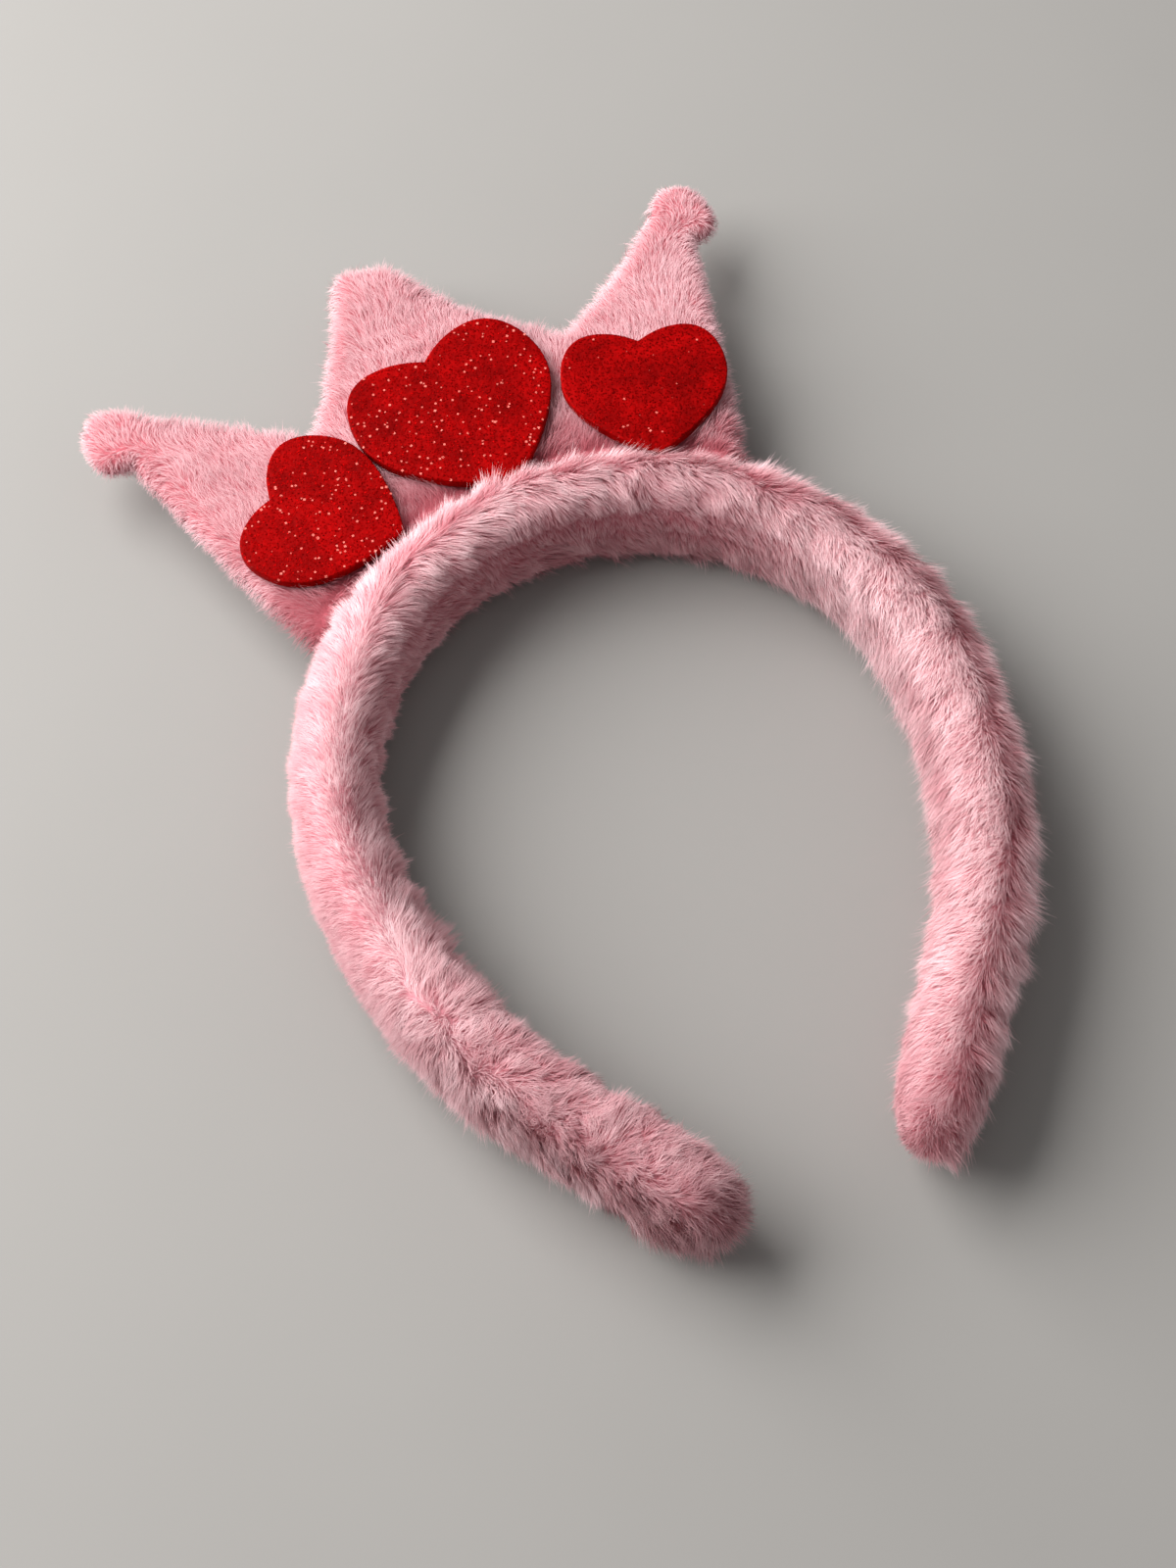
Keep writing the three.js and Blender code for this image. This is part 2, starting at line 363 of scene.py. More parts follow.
def heart_outline(heart):
    """A heart's outline in the crown's frame, in metres from the arch's centre."""
    runs = [np.array((HEART_NOTCH,))]
    last = HEART_NOTCH
    for run in HEART_RUNS:
        runs.append(curve_points((last, *run["bends"], run["to"]), HEART_STEPS))
        last = run["to"]
    outline = closed_outline(np.concatenate(runs)) * heart["width"]
    placed = turned(outline, math.radians(heart["turn"])) + np.array(heart["middle"])
    return placed * MM


def inward(outline):
    """Directions into a shape at each point of its outline."""
    ahead = np.roll(outline, -1, axis=0)
    area = (outline[:, 0] * ahead[:, 1] - outline[:, 1] * ahead[:, 0]).sum()
    run = unit(ahead - np.roll(outline, 1, axis=0))
    return np.sign(area) * np.stack((-run[:, 1], run[:, 0]), axis=1)


def edge_distance(points, outline):
    """How far each flat point is from an outline, and the direction to the nearest place on it."""
    start = outline[None]
    step = np.roll(outline, -1, axis=0)[None] - start
    span = np.maximum((step**2).sum(axis=2), 1e-18)
    nearest = np.empty_like(points)
    for first in range(0, len(points), 4000):
        part = points[first : first + 4000, None]
        share = np.clip(((part - start) * step).sum(axis=2) / span, 0.0, 1.0)
        feet = start + share[..., None] * step
        gaps = ((part - feet) ** 2).sum(axis=2)
        best = gaps.argmin(axis=1)
        nearest[first : first + 4000] = feet[np.arange(len(best)), best]
    away = nearest - points
    return np.linalg.norm(away, axis=1), unit(away)


def inside(points, outline):
    """Which flat points lie in an outline."""
    found = np.zeros(len(points), bool)
    for (ax, ay), (bx, by) in zip(outline, np.roll(outline, -1, axis=0)):
        crosses = (ay > points[:, 1]) != (by > points[:, 1])
        if ay != by:
            at = ax + (points[:, 1] - ay) / (by - ay) * (bx - ax)
            found ^= crosses & (points[:, 0] < at)
    return found


def padded_panel(outline, half, edge, spacing):
    """A flat panel with round edges: points about its middle plane, and triangles."""
    rings = [outline]
    for share in EDGE_RINGS:
        ring = outline + inward(outline) * edge * share
        gaps, _ = edge_distance(ring, outline)
        # Points that come too near another stretch of the outline are left out
        rings.append(ring[(gaps > 0.93 * edge * share) & inside(ring, outline)])
    low = outline.min(axis=0)
    high = outline.max(axis=0)
    across, upward = np.meshgrid(np.arange(low[0], high[0], spacing), np.arange(low[1], high[1], spacing))
    net = np.stack((across.ravel(), upward.ravel()), axis=1)
    net = net[inside(net, outline)]
    gaps, _ = edge_distance(net, outline)
    flat = np.concatenate((*rings, net[gaps > edge + spacing / 3]))
    loop = list(range(len(outline)))
    flat_points, _, faces, *_ = delaunay_2d_cdt([Vector(p) for p in flat / MM], [], [loop], 1, 1e-5)
    flat = np.array([tuple(p) for p in flat_points]) * MM
    gaps, _ = edge_distance(flat, outline)
    lean = 1.0 - np.clip(gaps / edge, 0.0, 1.0)
    level = half - edge + edge * np.sqrt(1.0 - lean**2)
    top = np.column_stack((flat, level))
    bottom = np.column_stack((flat, -level))
    count = len(flat)
    faces = np.array([f for f in faces if len(f) == 3])
    a, b, c = (flat[faces[:, k]] for k in range(3))
    turn = (b - a)[:, 0] * (c - a)[:, 1] - (b - a)[:, 1] * (c - a)[:, 0]
    faces[turn < 0.0] = faces[turn < 0.0][:, ::-1]
    here = np.arange(len(outline))
    ahead = np.roll(here, -1)
    wall = np.concatenate(
        (
            np.stack((here, ahead, ahead + count), axis=1),
            np.stack((here, ahead + count, here + count), axis=1),
        )
    )
    points = np.concatenate((top, bottom))
    return points, np.concatenate((faces, faces[:, ::-1] + count, wall))


def placed_on_crown(crown, points, rise):
    """Points of the crown's own frame moved to their place in the frame."""
    flat = turned(points[:, :2], crown.turn)
    return np.column_stack((flat, points[:, 2] + rise)) + ARCH_CENTRE


def scatter(points, triangles, weights, count, rng):
    """Random spots on a triangle mesh: the triangle of each, and how it mixes the corners."""
    shares = np.linalg.norm(face_directions(points, triangles), axis=1) * weights
    reached = np.cumsum(shares) / shares.sum()
    picks = np.searchsorted(reached, (np.arange(count) + rng.random(count)) / count)
    picks = np.minimum(picks, len(triangles) - 1)
    r = np.sqrt(rng.random(count))
    s = rng.random(count)
    mix = np.stack((1.0 - r, r * (1.0 - s), r * s), axis=1)
    return picks, mix


def at_spots(values, triangles, picks, mix):
    """Values of a mesh's points, at spots from scatter."""
    corners = values[triangles[picks]]
    return np.einsum("nk,nk...->n...", mix, corners)


def plant(points, triangles, weights, count, rng):
    """Spots from scatter, with their places and the directions that the surface faces there."""
    picks, mix = scatter(points, triangles, weights, count, rng)
    roots = at_spots(points, triangles, picks, mix)
    normals = unit(at_spots(corner_normals(points, triangles), triangles, picks, mix))
    return picks, mix, roots, normals


# Meshes


def new_piece(name, mesh, material, replaced):
    """An object that rides on the headband."""
    piece = bpy.data.objects.new(name, mesh)
    bpy.context.scene.collection.objects.link(piece)
    mesh.materials.append(material)
    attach(piece, "root")
    if replaced:
        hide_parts(replaced)
    return piece


def fill_mesh(mesh, points, corners, face_starts):
    """Puts points and faces of mixed sizes into a mesh, from arrays."""
    mesh.vertices.add(len(points))
    mesh.vertices.foreach_set("co", np.ascontiguousarray(points, dtype=np.float32).ravel())
    mesh.loops.add(len(corners))
    mesh.loops.foreach_set("vertex_index", np.ascontiguousarray(corners, dtype=np.int32))
    mesh.polygons.add(len(face_starts))
    mesh.polygons.foreach_set("loop_start", np.ascontiguousarray(face_starts, dtype=np.int32))
    mesh.polygons.foreach_set("use_smooth", np.ones(len(face_starts), bool))
    mesh.update(calc_edges=True)


def add_values(mesh, name, values):
    """A named number at each point of a mesh."""
    layer = mesh.attributes.new(name, "FLOAT", "POINT")
    layer.data.foreach_set("value", np.ascontiguousarray(values, dtype=np.float32))


def add_map(mesh, corners, places):
    """The map that a surface's colours are laid out on, from places of its points."""
    layer = mesh.uv_layers.new(name="OFBake")
    layer.data.foreach_set("uv", np.ascontiguousarray(places[corners], dtype=np.float32).ravel())


def solid_mesh(name, points, triangles):
    """A smooth closed mesh, with points that meet joined and faces of no size left out."""
    rounded = np.round(points / JOIN_DISTANCE).astype(np.int64)
    _, first, same = np.unique(rounded, axis=0, return_index=True, return_inverse=True)
    faces = same.reshape(-1)[triangles]
    whole = (faces[:, 0] != faces[:, 1]) & (faces[:, 1] != faces[:, 2]) & (faces[:, 2] != faces[:, 0])
    faces = faces[whole]
    mesh = bpy.data.meshes.new(name)
    fill_mesh(mesh, points[first], faces.ravel(), np.arange(len(faces)) * 3)
    return mesh


# A strand is a four-sided root part and a three-sided tip on five points: two at the root, two at the
# middle and one at the tip. The shades of its two sides differ a little.
STRAND_CORNERS = np.array((0, 1, 3, 2, 2, 3, 4))
STRAND_FACES = np.array((0, 4))
STRAND_HEIGHTS = np.array((0.01, 0.01, 0.5, 0.5, 0.99))
STRAND_SIDES = np.array((-1.0, 1.0, -1.0, 1.0, 0.0))
SHADE_SPREAD = 0.008
MIDDLE_WIDTH = 0.8


def strand_mesh(name, strands):
    """A joined mesh of tapering strands from pile, each a ribbon of one bend."""
    roots = strands["roots"]
    tips = strands["tips"]
    middles = 0.25 * roots + 0.5 * strands["bends"] + 0.25 * tips
    half = 0.5 * strands["widths"][:, None] * strands["sides"]
    middle_half = MIDDLE_WIDTH * half
    points = np.stack(
        (roots - half, roots + half, middles - middle_half, middles + middle_half, tips), axis=1
    )
    points[..., 2] = np.maximum(points[..., 2], FLOOR_CLEARANCE)
    count = len(roots)
    corners = (np.arange(count)[:, None] * 5 + STRAND_CORNERS).ravel()
    starts = (np.arange(count)[:, None] * 7 + STRAND_FACES).ravel()
    mesh = bpy.data.meshes.new(name)
    fill_mesh(mesh, points.reshape(-1, 3), corners, starts)
    shade = np.clip(strands["shades"][:, None] + STRAND_SIDES * SHADE_SPREAD, 0.001, 0.999).ravel()
    fades = strands["fades"][:, None]
    height = np.clip(fades + (1.0 - fades) * STRAND_HEIGHTS, 0.01, 0.99).ravel()
    add_values(mesh, "shade", shade)
    add_values(mesh, "height", height)
    add_map(mesh, corners, np.stack((shade, height), axis=1))
    mesh.normals_split_custom_set_from_vertices(np.repeat(strands["lit"], 5, axis=0))
    return mesh


def nearest_leader(points, leaders):
    """For each point, which leader is nearest."""
    tree = KDTree(len(leaders))
    for index, leader in enumerate(leaders.tolist()):
        tree.insert(leader, index)
    tree.balance()
    return np.array([tree.find(point)[1] for point in points.tolist()])


def draw_together(roots, tips, strands_per_tuft, pull, rng):
    """Draws the tips together into tufts, and gives the tuft of each strand."""
    chosen = rng.choice(len(roots), max(1, len(roots) // strands_per_tuft), replace=False)
    tuft = nearest_leader(roots, roots[chosen])
    share = (pull * rng.uniform(0.6, 1.2, len(roots)))[:, None]
    return tips + np.minimum(share, 0.95) * (tips[chosen][tuft] - tips), tuft


def along_surface(lay, normals):
    """Directions laid flat on the surface."""
    return unit(lay - (lay * normals).sum(axis=1, keepdims=True) * normals)


def swirled(lay, normals, swirl):
    """Directions turned on the surface."""
    return np.cos(swirl)[:, None] * lay + np.sin(swirl)[:, None] * np.cross(normals, lay)


# How strands differ and curve: unevenness of shade, how far up the root part points straight out, how much
# of that shows in the bend, and how far a ribbon rolls about its length
STRAND_SHADES = 0.05
STRAND_RISE = 0.42
STRAND_STIFFNESS = 0.55
STRAND_ROLL = 0.6
# Thinnest and thickest strand, as shares of strand_width
STRAND_WIDTHS = (0.7, 1.2)


def pile(roots, normals, comb, tufts, rng):
    """The strands of a combed pile: their places, sides, widths, shades, lit directions and fades."""
    count = len(roots)
    length = comb["length"][:, None]
    lift = comb["lift"][:, None]
    tips = roots + length * (np.cos(lift) * comb["lay"] + np.sin(lift) * normals)
    # Shades carry the comb's paleness, which holds painted light and shade, with random unevenness added.
    shades = comb["paleness"] + STRAND_SHADES * rng.normal(size=count)
    for strands_per_tuft, pull, contrast in tufts:
        tips, tuft = draw_together(roots, tips, strands_per_tuft, pull * comb["clump"], rng)
        shades += contrast * rng.normal(size=tuft.max() + 1)[tuft]
    upright = roots + STRAND_RISE * length * normals
    bends = STRAND_STIFFNESS * upright + (1.0 - STRAND_STIFFNESS) * (0.5 * roots + 0.5 * tips)
    run = unit(tips - roots)
    roll = rng.normal(0.0, STRAND_ROLL, count)[:, None]
    flat = unit(np.cross(run, normals) + 1e-6)
    sides = np.cos(roll) * flat + np.sin(roll) * normals
    lit = unit(np.cross(sides, run))
    lit = lit * np.where((lit * normals).sum(axis=1) < 0.0, -1.0, 1.0)[:, None]
    return {
        "roots": roots,
        "bends": bends,
        "tips": tips,
        "sides": sides,
        "widths": comb["width"],
        "shades": np.clip(shades, 0.0, 1.0),
        "lit": unit(lit + comb["softness"][:, None] * normals),
        "fades": comb["fade"],
    }


# Materials

COLOUR = "NodeSocketColor"
NUMBER = "NodeSocketFloat"

# How a strand's shade moves its colour: its share of the tip colour, and its brightness
TIP_SHARE = (0.45, 1.4)
BRIGHTNESS = (0.82, 1.18)
FULL_TIP_HEIGHT = 0.95

# Flakes of a higher tone than this are pale and hardly metallic: painted glints
PAINTED_GLINT_TONE = 0.962
PALE_STEP = 0.004


def new_material(name, roughness, specular):
    """A material of a given gloss, with its nodes, links and shader."""
    material = bpy.data.materials.new(name)
    material.use_nodes = True
    nodes = material.node_tree.nodes
    shader = nodes["Principled BSDF"]
    shader.inputs["Roughness"].default_value = roughness
    shader.inputs["Specular IOR Level"].default_value = specular
    return material, nodes, material.node_tree.links, shader


def attribute(nodes, name):
    """A named number of the mesh."""
    node = nodes.new("ShaderNodeAttribute")
    node.attribute_name = name
    return node.outputs["Fac"]


def ranged(nodes, links, value, given, wanted, way="LINEAR"):
    """A number moved from one range to another."""
    node = nodes.new("ShaderNodeMapRange")
    node.interpolation_type = way
    for socket, limit in zip(("From Min", "From Max", "To Min", "To Max"), (*given, *wanted)):
        node.inputs[socket].default_value = limit
    links.new(value, node.inputs["Value"])
    return node.outputs["Result"]


def mixed(nodes, links, share, first, second):
    """A colour between two others."""
    node = nodes.new("ShaderNodeMix")
    node.data_type = "RGBA"
    for socket, source in (("Factor", share), ("A", first), ("B", second)):
        links.new(source, node.inputs[socket])
    return node.outputs["Result"]


def toned(nodes, links, colour, share):
    """A colour made deeper or paler by a number."""
    node = nodes.new("ShaderNodeVectorMath")
    node.operation = "SCALE"
    links.new(colour, node.inputs[0])
    links.new(share, node.inputs["Scale"])
    return node.outputs["Vector"]


def add_relief(nodes, links, shader, value, strength, depth):
    """Fine bumps on a material, from a value."""
    bump = nodes.new("ShaderNodeBump")
    bump.inputs["Strength"].default_value = strength
    bump.inputs["Distance"].default_value = depth
    links.new(value, bump.inputs["Height"])
    links.new(bump.outputs["Normal"], shader.inputs["Normal"])


def new_group(name, inputs, outputs):
    """A shader node group with its sockets, and its nodes, links, input node and output node."""
    group = bpy.data.node_groups.new(name, "ShaderNodeTree")
    for way, sockets in (("INPUT", inputs), ("OUTPUT", outputs)):
        for socket, kind in sockets.items():
            group.interface.new_socket(socket, in_out=way, socket_type=kind)
    given = group.nodes.new("NodeGroupInput")
    result = group.nodes.new("NodeGroupOutput")
    return group, group.nodes, group.links, given, result


def place_group(nodes, group, values):
    """A node group in a material, with its own values."""
    node = nodes.new("ShaderNodeGroup")
    node.node_tree = group
    for socket, value in values.items():
        node.inputs[socket].default_value = value
    return node


def pile_colour_group():
    """Node group: the colour of a strand from its root to its tip, paler or deeper by its shade."""
    # The shade value carries painted light and shade as well as random tone.
    found = bpy.data.node_groups.get("Pile Colour")
    if found:
        return found
    inputs = {"Root": COLOUR, "Tip": COLOUR, "Height": NUMBER, "Shade": NUMBER}
    group, nodes, links, given, result = new_group("Pile Colour", inputs, {"Colour": COLOUR})
    shade = given.outputs["Shade"]
    rise = ranged(nodes, links, given.outputs["Height"], (0.0, FULL_TIP_HEIGHT), (0.0, 1.0), "SMOOTHSTEP")
    faded = nodes.new("ShaderNodeMath")
    faded.operation = "MULTIPLY"
    faded.use_clamp = True
    links.new(rise, faded.inputs[0])
    links.new(ranged(nodes, links, shade, (0.0, 1.0), TIP_SHARE), faded.inputs[1])
    body = mixed(nodes, links, faded.outputs["Value"], given.outputs["Root"], given.outputs["Tip"])
    colour = toned(nodes, links, body, ranged(nodes, links, shade, (0.0, 1.0), BRIGHTNESS))
    links.new(colour, result.inputs["Colour"])
    return group


def pile_material(name, root_colour, tip_colour):
    """Soft plush pile, deep rose at its roots, partly painted shade, and pale pink at its tips."""
    material, nodes, links, shader = new_material(name, roughness=0.72, specular=0.12)
    colour = place_group(nodes, pile_colour_group(), {"Root": root_colour, "Tip": tip_colour})
    links.new(attribute(nodes, "height"), colour.inputs["Height"])
    links.new(attribute(nodes, "shade"), colour.inputs["Shade"])
    links.new(colour.outputs["Colour"], shader.inputs["Base Color"])
    shader.inputs["Sheen Weight"].default_value = 0.1
    shader.inputs["Sheen Roughness"].default_value = 0.45
    shader.inputs["Sheen Tint"].default_value = (1.0, 0.8, 0.82, 1.0)
    return material


def speckle_group():
    """Node group: an even speckle between two colours, and its value."""
    found = bpy.data.node_groups.get("Speckle")
    if found:
        return found
    inputs = {"Scale": NUMBER, "Dark": COLOUR, "Pale": COLOUR}
    outputs = {"Colour": COLOUR, "Value": NUMBER}
    group, nodes, links, given, result = new_group("Speckle", inputs, outputs)
    place = nodes.new("ShaderNodeTexCoord")
    noise = nodes.new("ShaderNodeTexNoise")
    noise.inputs["Detail"].default_value = 3.0
    links.new(place.outputs["Object"], noise.inputs["Vector"])
    links.new(given.outputs["Scale"], noise.inputs["Scale"])
    colour = mixed(nodes, links, noise.outputs["Fac"], given.outputs["Dark"], given.outputs["Pale"])
    links.new(colour, result.inputs["Colour"])
    links.new(noise.outputs["Fac"], result.inputs["Value"])
    return group


def speckle(nodes, colour, scale, darkest, palest):
    """The speckle in a material, about a colour."""
    values = {"Scale": scale, "Dark": scaled(colour, darkest), "Pale": scaled(colour, palest)}
    return place_group(nodes, speckle_group(), values)


def scaled(colour, share):
    """A colour made darker or paler."""
    return tuple(share * part for part in colour[:3]) + (1.0,)


def backing_material(name, colour):
    """Knitted backing under the pile."""
    material, nodes, links, shader = new_material(name, roughness=0.9, specular=0.15)
    knit = speckle(nodes, colour, scale=900.0, darkest=0.7, palest=1.2)
    links.new(knit.outputs["Colour"], shader.inputs["Base Color"])
    add_relief(nodes, links, shader, knit.outputs["Value"], strength=0.5, depth=0.4 * MM)
    return material


def foam_material(hearts):
    """Red foam sheet with a grain of glue and the finest glitter, in broad uneven patches."""
    material, nodes, links, shader = new_material("glitter foam", roughness=0.55, specular=0.02)
    grain = speckle(nodes, hearts.foam_colour, scale=700.0, darkest=0.5, palest=1.6)
    broad = speckle(nodes, hearts.foam_colour, scale=130.0, darkest=1.0, palest=1.0)
    patches = ranged(nodes, links, broad.outputs["Value"], (0.3, 0.7), (0.7, 1.35))
    links.new(toned(nodes, links, grain.outputs["Colour"], patches), shader.inputs["Base Color"])
    add_relief(nodes, links, shader, grain.outputs["Value"], strength=0.8, depth=0.3 * MM)
    return material


def flake_material(hearts):
    """Foil flakes from deep to bright red, a few of them pale painted glints."""
    material, nodes, links, shader = new_material("glitter flakes", roughness=0.5, specular=0.2)
    tone = attribute(nodes, "tone")
    ramp = nodes.new("ShaderNodeValToRGB")
    links.new(tone, ramp.inputs["Fac"])
    stops = ramp.color_ramp.elements
    stops[0].color = scaled(hearts.flake_colour, 0.45)
    stops[1].color = hearts.painted_glint_colour
    stops.new(PAINTED_GLINT_TONE - PALE_STEP).color = hearts.flake_colour
    stops.new(PAINTED_GLINT_TONE).color = hearts.painted_glint_colour
    links.new(ramp.outputs["Color"], shader.inputs["Base Color"])
    foil = ranged(nodes, links, tone, (PAINTED_GLINT_TONE - PALE_STEP, PAINTED_GLINT_TONE), (1.0, 0.1))
    links.new(foil, shader.inputs["Metallic"])
    return material


# The band


class HEADBAND_OT_band_backing(Operator):
    """Builds the padded backing of the band"""

    bl_idname = "headband.band_backing"
    bl_label = "Band Backing"

    def execute(self, context):
        band = context.scene.headband_band
        points, triangles, _, _ = band_grid(band)
        mesh = solid_mesh("band_backing", points, triangles)
        material = backing_material("band backing", band.backing_colour)
        piece = new_piece("band_backing", mesh, material, "band")
        return {"FINISHED"}


BAND_PILE_PIECES = ("pile_left_end", "pile_left_side", "pile_right_side", "pile_right_end")

# Tufts of each pile, the broad ones first: strands in a tuft, how far their tips are drawn together, and
# unevenness of shade
BAND_TUFTS = ((120, 0.14, 0.04), (9, 0.4, 0.06))
CROWN_TUFTS = ((240, 0.05, 0.02), (10, 0.2, 0.03))

# How the band's pile lies. Each row is a number for every strand: its usual number, and what is added in
# each zone of band_zones. Partings and lifts are in degrees, swirls in radians, and lengths are shares of
# pile_length.
BAND_COMB = {
    "parting": {"usual": 60, "left": 46, "right": 12, "left_low": -84, "left_end": -40, "right_end": 14},
    "parting_wander": {"usual": 0.16, "left_low": 0.1},
    "parting_spread": {"usual": 0.2, "left": 0.35, "left_low": 0.35},
    "lengthwise": {"usual": 0.55, "right": 0.25, "left_outer": -0.3, "left_low": -0.9},
    "crosswise": {"usual": 0.75, "right_inner": -0.2, "left_low": -0.4},
    "broad_swirl": {"usual": 0.4, "velvet": -0.2, "right_inner": -0.2},
    "ruffle": {"left_low": 0.6},
    "tangle": {"left_low": 1.6},
    "fine_swirl": {"usual": 0.18, "left_low": 0.27, "velvet": 0.54, "right_inner": 0.18},
    "lift": {
        "usual": 23, "outer": 8, "left_low": 7, "left_parting": 10, "velvet": 32, "tufted": 12,
        "cap": 22, "inner_face": -6, "shaggy": 30, "right_inner": 8,
    },
    "uneven_lift": {"usual": 9, "velvet": -4, "right_inner": -4},
    "fine_lift": {"usual": 6},
    "stray": {"usual": 0.05, "fringe": 0.09, "cap": 0.12},
    "stray_lift": {"usual": 22},
    "stray_length": {"usual": 1.2},
    "length": {
        "usual": 1.0, "left_low": -0.08, "left_cap": 0.12, "velvet": -0.48, "tufted": -0.2,
        "fringe": -0.08, "rim": -0.35, "inner_face": -0.35, "seam": -0.3, "shaggy": 0.45,
        "right_end": -0.2, "trimmed": -0.3, "wisp": 0.35,
    },
    "uneven_length": {"usual": 0.2, "velvet": -0.1, "right_inner": -0.1},
    # Painted light: higher paleness on the lit fringe, the low left's outer edge and the right's inner
    # side.
    # Painted shade on sides turned from the light: lower paleness low on the left, on the left's inner
    # half,
    # Painted shade where the key light falls: lower paleness on the left's outer side, the velvet and the
    # low right.
    # on the arch's inner rim and on the inner face, and in the creases of the parting's furrow and the
    # seam.
    "paleness": {
        "usual": 0.5, "left_low": -0.2, "left_low_outer": 0.2, "outer_side": -0.32, "velvet": -0.07,
        "tufted": -0.1, "fringe": 0.2, "furrow": -0.45, "rim": -0.12, "inner_face": -0.25,
        "seam": -0.2, "right_inner": 0.28, "right_lit": -0.42, "right_end": -0.15,
    },
    "uneven_paleness": {"usual": 0.06},
    "fine_paleness": {"usual": 0.05},
    "clump": {"usual": 1.0, "velvet": -0.55, "tufted": 0.5, "left_low": 0.2, "right_inner": -0.55},
    "softness": {"usual": 3.5, "fringe": -2.7, "left_low": 1.0, "velvet": 3.0, "right_inner": 3.0},
    "fade": {"left_low": 0.06, "velvet": 0.2, "left_furrow": 0.3, "left_turn": 0.3},
}
# Lowest and highest lift of the band's pile, and its shortest length before chance is added
BAND_LIFTS = (6, 80)
BAND_SHORTEST = 0.25
# How far the wisp's tip is past the right end, and out from the middle line
WISP_PAST_END = 2.5 * MM
WISP_OUT = 6.0 * MM


def by_zone(comb, zones, row):
    """A row of a comb as a number for each strand."""
    return sum(added * zones[zone] for zone, added in comb[row].items())


def hump(middle, width, values):
    """1 at the middle, falling smoothly to 0 within about two widths of it."""
    return np.exp(-(((values - middle) / width) ** 2))


def wisp_tip(band):
    """Where the pointed wisp at the right end's outer corner comes together."""
    end, heading, outward = band_line(band, np.array((half_length(band),)))
    return end + WISP_PAST_END * heading + WISP_OUT * outward


def band_zones(band, along, around, points, rng):
    """How far each strand is in each zone of the band, from 0 to 1, and how it leans from the parting."""
    to_end = half_length(band) - np.abs(along)
    left = smooth_step(-20 * MM, -75 * MM, along)
    left_low = smooth_step(-112 * MM, -172 * MM, along)
    right = smooth_step(30 * MM, 90 * MM, along)
    right_end = right * smooth_step(40 * MM, 10 * MM, to_end)
    arch = (1.0 - left) * (1.0 - right)
    cap = smooth_step(10 * MM, 1 * MM, to_end)
    zones = {
        "usual": np.ones(len(along)),
        "left": left,
        "left_low": left_low,
        "left_end": left * smooth_step(34 * MM, 10 * MM, to_end),
        "left_cap": left * cap,
        "right": right,
        "right_end": right_end,
        "cap": cap,
    }

    wander = ripples(points, 24 * MM, rng) + 0.5 * ripples(points, 9 * MM, rng)
    parting = np.radians(by_zone(BAND_COMB, zones, "parting"))
    parting = parting + by_zone(BAND_COMB, zones, "parting_wander") * wander
    beyond = (around - parting + math.pi) % (2.0 * math.pi) - math.pi
    away = np.tanh(beyond / by_zone(BAND_COMB, zones, "parting_spread"))
    inner = smooth_step(-0.15, 0.15, beyond)
    outer = 1.0 - inner

    degrees = np.degrees(around) % 360.0
    # The upper left branch's outer side, which faces the key light; its paleness is lowered there as
    # painted shade.
    outer_side = smooth_step(88.0, 40.0, np.where(degrees > 180.0, 0.0, degrees))
    inner_face = smooth_step(122.0, 138.0, degrees) * smooth_step(250.0, 215.0, degrees)
    inner_edge = smooth_step(130.0, 165.0, degrees) * smooth_step(225.0, 200.0, degrees)
    lit_face = smooth_step(85.0, 140.0, degrees) * smooth_step(240.0, 200.0, degrees)
    rim = smooth_step(92.0, 112.0, degrees) * smooth_step(165.0, 140.0, degrees)
    shaggy = hump(-128 * MM, 26 * MM, along) + 0.4 * hump(115 * MM, 34 * MM, along)
    trimmed = smooth_step(14 * MM, 6 * MM, to_end) * smooth_step(110.0, 150.0, degrees)
    from_wisp = np.linalg.norm(wisp_tip(band) - points, axis=1)
    zones.update(
        {
            "outer": outer,
            "left_outer": left * outer,
            # The low left branch's outer edge, made paler with painted light.
            "left_low_outer": left_low * outer,
            "left_parting": left * (1.0 - left_low) * (1.0 - np.abs(away)),
            "left_furrow": left * hump(0.0, 0.4, beyond),
            "left_turn": hump(-132 * MM, 22 * MM, along) * hump(0.0, 0.7, beyond),
            "velvet": left * outer * (1.0 - left_low),
            # The left's inner half, turned from the light, is darkened with painted shade.
            "tufted": left * inner * (1.0 - left_low),
            "outer_side": smooth_step(0.0, -40 * MM, along) * (1.0 - left_low) * outer * outer_side,
            # The fringe's tips catch the light; its paleness is raised as painted light.
            "fringe": outer * (1.0 - left),
            # The furrow along the parting is darkened with painted shade.
            "furrow": (1.0 - left) * hump(0.0, 0.17 + 0.25 * right_end, beyond),
            # The arch's inner rim is darkened with painted shade.
            "rim": arch * rim,
            # The inner face, turned from the light, is darkened with painted shade.
            "inner_face": inner_face * (1.0 - 0.6 * left) * (1.0 - 0.8 * right),
            # The seam's furrow is darkened with painted shade.
            "seam": arch * hump(166.0, 5.0, degrees),
            "shaggy": shaggy * inner_edge,
            # The right branch's inner side faces the light; its paleness is raised as painted light.
            "right_inner": right * inner,
            # Where the key light falls on the low right branch, its paleness is lowered as painted shade.
            "right_lit": smooth_step(70 * MM, 120 * MM, along) * lit_face,
            "trimmed": right * trimmed,
            "wisp": smooth_step(9 * MM, 5 * MM, from_wisp),
        }
    )
    return zones, away


